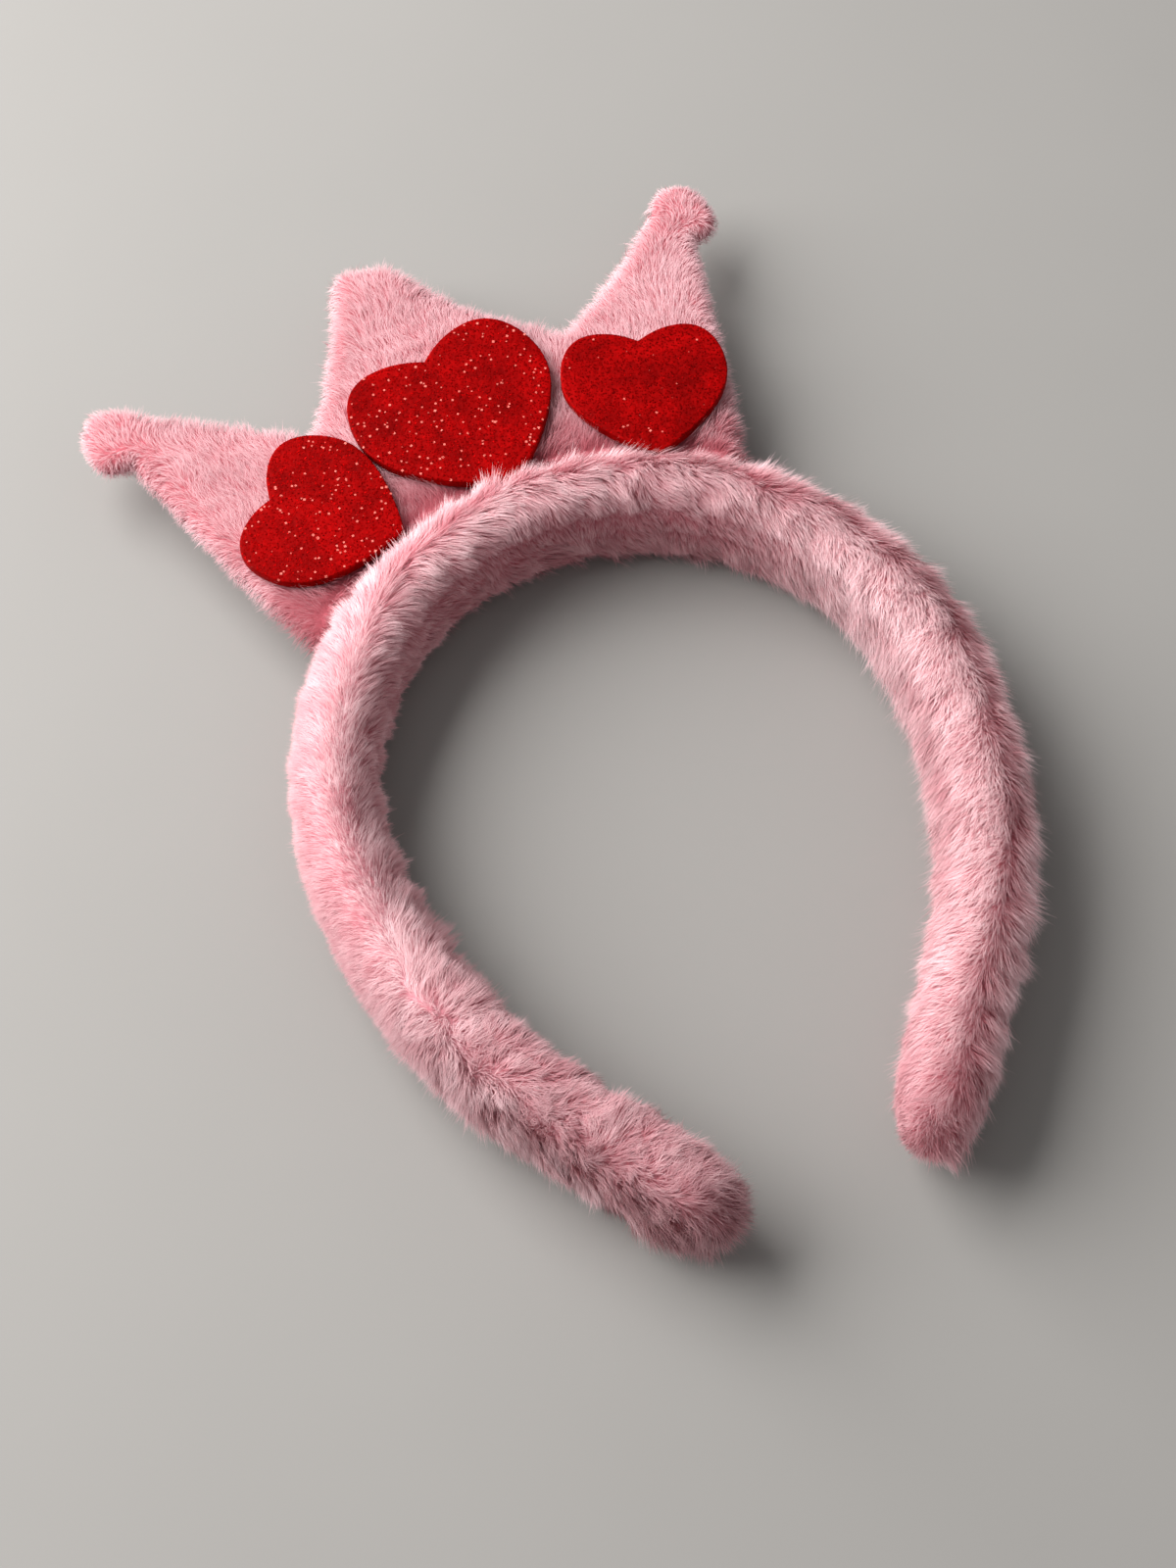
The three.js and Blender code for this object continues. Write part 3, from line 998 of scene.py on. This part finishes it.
def comb_band(band, along, around, roots, normals, rng):
    """How the band's pile lies, in the rows that pile needs.

    The pile runs over the arch to the right end. It parts along the front edge: the outer part lies
    outwards, and the rest is swept over to the inner side. Low on the left it turns to the left end and is
    ruffled.
    """
    count = len(roots)
    zones, away = band_zones(band, along, around, roots, rng)
    comb = {row: by_zone(BAND_COMB, zones, row) for row in BAND_COMB}
    wisp = zones["wisp"]
    to_wisp = unit(wisp_tip(band) - roots)
    _, headings, _ = band_line(band, along)

    sideways = comb["crosswise"] * away
    swirl = comb["broad_swirl"] * ripples(roots, 11 * MM, rng)
    swirl = swirl + comb["ruffle"] * ripples(roots, 5 * MM, rng)
    swirl = swirl + comb["fine_swirl"] * rng.normal(size=count)
    swirl = swirl + zones["cap"] * rng.uniform(-math.pi, math.pi, count)
    tangle = comb["tangle"] * hump(0.0, 0.4, np.hypot(comb["lengthwise"], sideways))
    swirl = (swirl + tangle * rng.normal(size=count)) * (1.0 - 0.9 * wisp)
    lay = comb["lengthwise"][:, None] * headings + sideways[:, None] * np.cross(headings, normals)
    lay = (1.0 - wisp)[:, None] * lay + wisp[:, None] * to_wisp

    lift = comb["lift"] + comb["uneven_lift"] * ripples(roots, 8 * MM, rng)
    lift = np.radians(lift + comb["fine_lift"] * rng.normal(size=count))
    wisp_lift = np.arcsin(np.clip((to_wisp * normals).sum(axis=1), -1.0, 1.0))
    lift = (1.0 - wisp) * lift + wisp * wisp_lift
    stray = rng.random(count) < comb["stray"]
    lift = lift + stray * np.radians(comb["stray_lift"])

    length = np.maximum(comb["length"], BAND_SHORTEST) * rng.uniform(0.7, 1.1, count)
    length = length * (1.0 + comb["uneven_length"] * ripples(roots, 6 * MM, rng))
    paleness = comb["paleness"] + comb["uneven_paleness"] * ripples(roots, 7 * MM, rng)
    return {
        **comb,
        "lay": swirled(along_surface(lay, normals), normals, swirl),
        "lift": np.clip(lift, *np.radians(BAND_LIFTS)),
        "length": band.pile_length * length * np.where(stray, comb["stray_length"], 1.0),
        "paleness": paleness + comb["fine_paleness"] * ripples(roots, 3 * MM, rng),
        "width": band.strand_width * rng.uniform(*STRAND_WIDTHS, count),
    }


class HEADBAND_OT_band_pile(Operator):
    """Plants the band's pile, combed away from a parting along the front edge"""

    bl_idname = "headband.band_pile"
    bl_label = "Band Pile"

    def execute(self, context):
        band = context.scene.headband_band
        rng = np.random.default_rng(BAND_SEED)
        net, triangles, net_along, net_around = band_grid(band)
        facing = np.sin(net_around[triangles]).mean(axis=1)
        # Thinner on the back edge, which the headband lies on
        weights = 0.4 + 0.6 * smooth_step(-0.75, -0.25, facing)
        picks, mix, roots, normals = plant(net, triangles, weights, band.strand_count, rng)
        along = at_spots(net_along, triangles, picks, mix)
        cosine = at_spots(np.cos(net_around), triangles, picks, mix)
        sine = at_spots(np.sin(net_around), triangles, picks, mix)
        around = np.arctan2(sine, cosine)
        comb = comb_band(band, along, around, roots, normals, rng)
        strands = pile(roots, normals, comb, BAND_TUFTS, rng)
        material = pile_material("band pile", band.root_colour, band.tip_colour)
        order = np.argsort(along, kind="stable")
        for name, members in zip(BAND_PILE_PIECES, np.array_split(order, len(BAND_PILE_PIECES))):
            mesh = strand_mesh(name, {part: values[members] for part, values in strands.items()})
            new_piece(name, mesh, material, None)
        return {"FINISHED"}


# The crown


def crown_backing(crown):
    """The crown's padded backing in its own frame: points, triangles and the outline that it fills."""
    outline = crown_outline(crown)
    inset = outline + inward(outline) * crown.inset
    gaps, _ = edge_distance(inset, outline)
    inset = inset[gaps > 0.9 * crown.inset]
    half = crown.thickness / 2
    points, triangles = padded_panel(inset, half, half, CROWN_SPACING)
    return points, triangles, inset


class HEADBAND_OT_crown_backing(Operator):
    """Builds the padded backing of the crown"""

    bl_idname = "headband.crown_backing"
    bl_label = "Crown Backing"

    def execute(self, context):
        crown = context.scene.headband_crown
        points, triangles, _ = crown_backing(crown)
        mesh = solid_mesh("crown_backing", placed_on_crown(crown, points, crown.rise), triangles)
        material = backing_material("crown backing", crown.root_colour)
        piece = new_piece("crown_backing", mesh, material, "crown")
        return {"FINISHED"}


# How the crown's pile lies, in rows like those of BAND_COMB
CROWN_COMB = {
    "broad_swirl": {"usual": 0.45},
    "fine_swirl": {"usual": 0.42},
    "lift": {"usual": 27, "near_band": 14},
    "uneven_lift": {"usual": 6},
    "fine_lift": {"usual": 6},
    "stray": {"usual": 0.06},
    "stray_length": {"usual": 1.35},
    "length": {"usual": 1.0, "near_band": 0.4},
    "knob_length": {"usual": 1.0, "on_knobs": -0.3},
    "uneven_length": {"usual": 0.2},
    # Near the band, lower paleness and fade are painted shade from the band and the hearts.
    "paleness": {"usual": 0.52, "near_band": -0.45, "to_right": 0.14},
    "uneven_paleness": {"usual": 0.07},
    "clump": {"usual": 1.0},
    "softness": {"usual": 2.0},
    "fade": {"usual": 0.25, "near_band": -0.85},
}
CROWN_LIFTS = (8, 70)

# How far inside a heart's edge the crown is bare, and how far the pile stays below the hearts
BARE_UNDER_HEARTS = 2.5 * MM
BELOW_HEARTS = 0.2 * MM


def crown_cover(net, triangles):
    """How closely the crown's pile stands: thinner on the back, and none under the hearts."""
    facing = net[triangles][:, :, 2].mean(axis=1)
    weights = np.where(facing > 0.0, 1.0, 0.35)
    middles = net[triangles].mean(axis=1)
    for heart in HEARTS:
        edge = heart_outline(heart)
        gaps, _ = edge_distance(middles[:, :2], edge)
        under = inside(middles[:, :2], edge) & (gaps > BARE_UNDER_HEARTS) & (facing > 0.0)
        weights = np.where(under, 0.0, weights)
    return weights


def comb_crown(crown, outline, roots, normals, rng):
    """How the crown's pile lies, in the rows that pile needs.

    It is brushed out from the arch and over the crown's edge. Beside the band it stands up, long, and is
    darkened with painted shade.
    """
    count = len(roots)
    zones = {
        "usual": np.ones(count),
        # Beside the band, where the pile's colour is darkened with painted shade.
        "near_band": smooth_step(95 * MM, 81 * MM, np.linalg.norm(roots[:, :2], axis=1)),
        "on_knobs": smooth_step(56 * MM, 66 * MM, np.abs(roots[:, 0])),
        "to_right": smooth_step(10 * MM, 50 * MM, roots[:, 0]),
    }
    comb = {row: by_zone(CROWN_COMB, zones, row) for row in CROWN_COMB}

    gaps, to_edge = edge_distance(roots[:, :2], outline)
    near_edge = smooth_step(7 * MM, 0.5 * MM, gaps)[:, None]
    flat = unit((1.0 - near_edge) * unit(roots[:, :2]) + 1.2 * near_edge * to_edge)
    lay = along_surface(np.column_stack((flat, np.zeros(count))), normals)
    swirl = comb["broad_swirl"] * ripples(roots, 10 * MM, rng)
    swirl = swirl + comb["fine_swirl"] * rng.normal(size=count)

    lift = comb["lift"] + comb["uneven_lift"] * ripples(roots, 8 * MM, rng)
    lift = lift + comb["fine_lift"] * rng.normal(size=count)
    stray = rng.random(count) < comb["stray"]
    length = comb["length"] * comb["knob_length"] * rng.uniform(0.75, 1.15, count)
    length = length * (1.0 + comb["uneven_length"] * ripples(roots, 4 * MM, rng))
    return {
        **comb,
        "lay": swirled(lay, normals, swirl),
        "lift": np.radians(np.clip(lift, *CROWN_LIFTS)),
        "length": crown.pile_length * length * np.where(stray, comb["stray_length"], 1.0),
        "width": crown.strand_width * rng.uniform(*STRAND_WIDTHS, count),
        "paleness": comb["paleness"] + comb["uneven_paleness"] * ripples(roots, 13 * MM, rng),
    }


class HEADBAND_OT_crown_pile(Operator):
    """Plants the crown's short pile, brushed out towards its points and edges"""

    bl_idname = "headband.crown_pile"
    bl_label = "Crown Pile"

    def execute(self, context):
        crown = context.scene.headband_crown
        rng = np.random.default_rng(CROWN_SEED)
        net, triangles, outline = crown_backing(crown)
        weights = crown_cover(net, triangles)
        _, _, roots, normals = plant(net, triangles, weights, crown.strand_count, rng)
        comb = comb_crown(crown, outline, roots, normals, rng)
        strands = pile(roots, normals, comb, CROWN_TUFTS, rng)
        highest = context.scene.headband_hearts.seat - crown.rise - BELOW_HEARTS
        for heart in HEARTS:
            for part in (strands["bends"], strands["tips"]):
                covered = inside(part[:, :2], heart_outline(heart))
                part[covered, 2] = np.minimum(part[covered, 2], highest)
        for part in ("roots", "bends", "tips"):
            strands[part] = placed_on_crown(crown, strands[part], crown.rise)
        for part in ("sides", "lit"):
            strands[part] = placed_on_crown(crown, strands[part], 0.0) - ARCH_CENTRE
        mesh = strand_mesh("crown_pile", strands)
        material = pile_material("crown pile", crown.root_colour, crown.tip_colour)
        new_piece("crown_pile", mesh, material, None)
        return {"FINISHED"}


# The hearts

# How far the flakes float over the foam, how much larger the pale ones are, and how far a flake's tone
# varies across it. The pale flakes are painted glints.
FLAKE_FLOAT = 0.06 * MM
PAINTED_GLINT_SIZE = 1.6
TONE_SPREAD = 0.002


def glitter_mesh(heart, points, triangles, hearts, rng):
    """Small tilted foil squares all over the upper face of a heart."""
    faces = face_directions(points, triangles)
    weights = np.where(unit(faces)[:, 2] > 0.5, 1.0, 0.0)
    area = 0.5 * (np.linalg.norm(faces, axis=1) * weights).sum() / MM**2
    picks, mix = scatter(points, triangles, weights, int(area * hearts.flakes_per_mm2), rng)
    count = len(picks)
    normals = unit(faces)[picks]
    middles = at_spots(points, triangles, picks, mix) + normals * FLAKE_FLOAT
    tilted = unit(normals + math.tan(hearts.flake_tilt) * rng.normal(size=(count, 3)))
    first = unit(np.cross(tilted, rng.normal(size=(count, 3))))
    second = np.cross(tilted, first)
    # The highest tones make the pale flakes, painted glints; a heart's sparkle share sets how many.
    tone = rng.random(count) * (PAINTED_GLINT_TONE + (1.0 - PAINTED_GLINT_TONE) * heart["sparkle"])
    half = 0.5 * hearts.flake_size * rng.uniform(0.7, 1.25, count)[:, None]
    half = half * np.where(tone > PAINTED_GLINT_TONE, PAINTED_GLINT_SIZE, 1.0)[:, None]
    squares = np.stack(
        (
            middles - half * first - half * second,
            middles + half * first - half * second,
            middles + half * first + half * second,
            middles - half * first + half * second,
        ),
        axis=1,
    )
    corners = np.arange(count * 4)
    mesh = bpy.data.meshes.new(heart["name"] + "_glitter")
    fill_mesh(mesh, squares.reshape(-1, 3), corners, np.arange(count) * 4)
    spread = np.tile((-1.0, 1.0, 1.0, -1.0), count) * TONE_SPREAD
    tone = np.clip(np.repeat(tone, 4) + spread, 0.001, 0.999)
    add_values(mesh, "tone", tone)
    add_map(mesh, corners, np.stack((tone, np.tile((0.1, 0.1, 0.9, 0.9), count)), axis=1))
    return mesh


class HEADBAND_OT_hearts(Operator):
    """Cuts the three foam hearts and lays their glitter"""

    bl_idname = "headband.hearts"
    bl_label = "Hearts"

    def execute(self, context):
        crown = context.scene.headband_crown
        hearts = context.scene.headband_hearts
        foam = foam_material(hearts)
        flakes = flake_material(hearts)
        half = hearts.thickness / 2
        rng = np.random.default_rng(GLITTER_SEED)
        for heart in HEARTS:
            outline = heart_outline(heart)
            points, triangles = padded_panel(outline, half, hearts.edge, HEART_SPACING)
            points = placed_on_crown(crown, points, hearts.seat + half)
            mesh = solid_mesh(heart["name"], points, triangles)
            new_piece(heart["name"] + "_foam", mesh, foam, heart["name"])
            mesh = glitter_mesh(heart, points, triangles, hearts, rng)
            new_piece(heart["name"] + "_glitter", mesh, flakes, None)
        return {"FINISHED"}


# The stage

# Where the camera aims, in millimetres from the arch's centre, and the lights' places and colours
AIM = (-13.29, 2.98, 0.0)
KEY_PLACE = (-0.597, 0.544, 0.62)
KEY_SIZE = (1.2, 1.0)
KEY_COLOUR = (1.0, 0.975, 0.95)
SKY_COLOUR = (1.0, 0.985, 0.97, 1.0)


class HEADBAND_OT_stage(Operator):
    """Lays the floor, and sets the lights and the camera"""

    bl_idname = "headband.stage"
    bl_label = "Stage"

    def execute(self, context):
        scene = context.scene
        stage = scene.headband_stage
        scene.view_settings.view_transform = "Standard"
        self.add_camera(scene, stage)
        self.add_floor(scene, stage)
        self.add_lights(scene, stage)
        return {"FINISHED"}

    def add_camera(self, scene, stage):
        """Sets the camera at the photograph's angle."""
        level = math.cos(stage.view_elevation)
        look = Vector(
            (
                math.sin(stage.view_azimuth) * level,
                math.cos(stage.view_azimuth) * level,
                -math.sin(stage.view_elevation),
            )
        )
        aim = Vector(ARCH_CENTRE) + Vector(AIM) * MM
        camera = bpy.data.cameras.new("camera")
        camera.lens = stage.lens
        camera.clip_start = 0.01
        eye = bpy.data.objects.new("camera", camera)
        eye.location = aim - look * stage.view_distance
        eye.rotation_euler = look.to_track_quat("-Z", "Y").to_euler()
        scene.collection.objects.link(eye)
        scene.camera = eye

    def add_floor(self, scene, stage):
        """Lays a wide flat floor."""
        reach = 4.0
        steps = 8
        line = np.linspace(-reach, reach, steps + 1)
        across, upward = np.meshgrid(line, line)
        points = np.stack((across.ravel(), upward.ravel(), np.zeros(across.size)), axis=1)
        row, column = np.meshgrid(np.arange(steps), np.arange(steps), indexing="ij")
        here = (row * (steps + 1) + column).ravel()
        corners = np.stack((here, here + 1, here + steps + 2, here + steps + 1), axis=1).ravel()
        mesh = bpy.data.meshes.new("floor")
        fill_mesh(mesh, points, corners, np.arange(steps * steps) * 4)
        material, nodes, links, shader = new_material("pale floor", roughness=0.6, specular=0.2)
        mottle = speckle(nodes, stage.floor_colour, scale=14.0, darkest=0.97, palest=1.03)
        links.new(mottle.outputs["Colour"], shader.inputs["Base Color"])
        mesh.materials.append(material)
        floor = bpy.data.objects.new("floor", mesh)
        scene.collection.objects.link(floor)

    def add_lights(self, scene, stage):
        """Hangs one large soft light, and even light from all round."""
        key = bpy.data.lights.new("key light", "AREA")
        key.shape = "RECTANGLE"
        key.size, key.size_y = KEY_SIZE
        key.energy = stage.key_power
        key.color = KEY_COLOUR
        lamp = bpy.data.objects.new("key light", key)
        lamp.location = KEY_PLACE
        lamp.rotation_euler = (-Vector(lamp.location)).to_track_quat("-Z", "Y").to_euler()
        scene.collection.objects.link(lamp)
        world = bpy.data.worlds.new("soft room")
        world.use_nodes = True
        sky = world.node_tree.nodes["Background"]
        sky.inputs["Color"].default_value = SKY_COLOUR
        sky.inputs["Strength"].default_value = stage.sky_strength
        scene.world = world


# The panel, and what Blender is told


class HEADBAND_PT_panel(Panel):
    """Lists the steps that build the headband"""

    bl_idname = "HEADBAND_PT_panel"
    bl_label = "Heart Headband"
    bl_space_type = "VIEW_3D"
    bl_region_type = "UI"
    bl_category = "Headband"

    def draw(self, context):
        for operator in OPERATORS:
            self.layout.operator(operator.bl_idname)


SETTINGS = {
    "headband_band": HeadbandBandSettings,
    "headband_crown": HeadbandCrownSettings,
    "headband_hearts": HeadbandHeartSettings,
    "headband_stage": HeadbandStageSettings,
}
OPERATORS = (
    HEADBAND_OT_band_backing,
    HEADBAND_OT_band_pile,
    HEADBAND_OT_crown_backing,
    HEADBAND_OT_crown_pile,
    HEADBAND_OT_hearts,
    HEADBAND_OT_stage,
)


def register():
    """Makes the settings, operators and panel known to Blender."""
    for name, settings in SETTINGS.items():
        bpy.utils.register_class(settings)
        setattr(bpy.types.Scene, name, PointerProperty(type=settings))
    for operator in OPERATORS:
        bpy.utils.register_class(operator)
    bpy.utils.register_class(HEADBAND_PT_panel)


def unregister():
    """Takes them away again."""
    bpy.utils.unregister_class(HEADBAND_PT_panel)
    for operator in reversed(OPERATORS):
        bpy.utils.unregister_class(operator)
    for name, settings in SETTINGS.items():
        delattr(bpy.types.Scene, name)
        bpy.utils.unregister_class(settings)


def main():
    """Builds the headband and its stage."""
    register()
    bpy.ops.headband.band_backing()
    bpy.ops.headband.band_pile()
    bpy.ops.headband.crown_backing()
    bpy.ops.headband.crown_pile()
    bpy.ops.headband.hearts()
    bpy.ops.headband.stage()


if __name__ == "__main__":
    main()
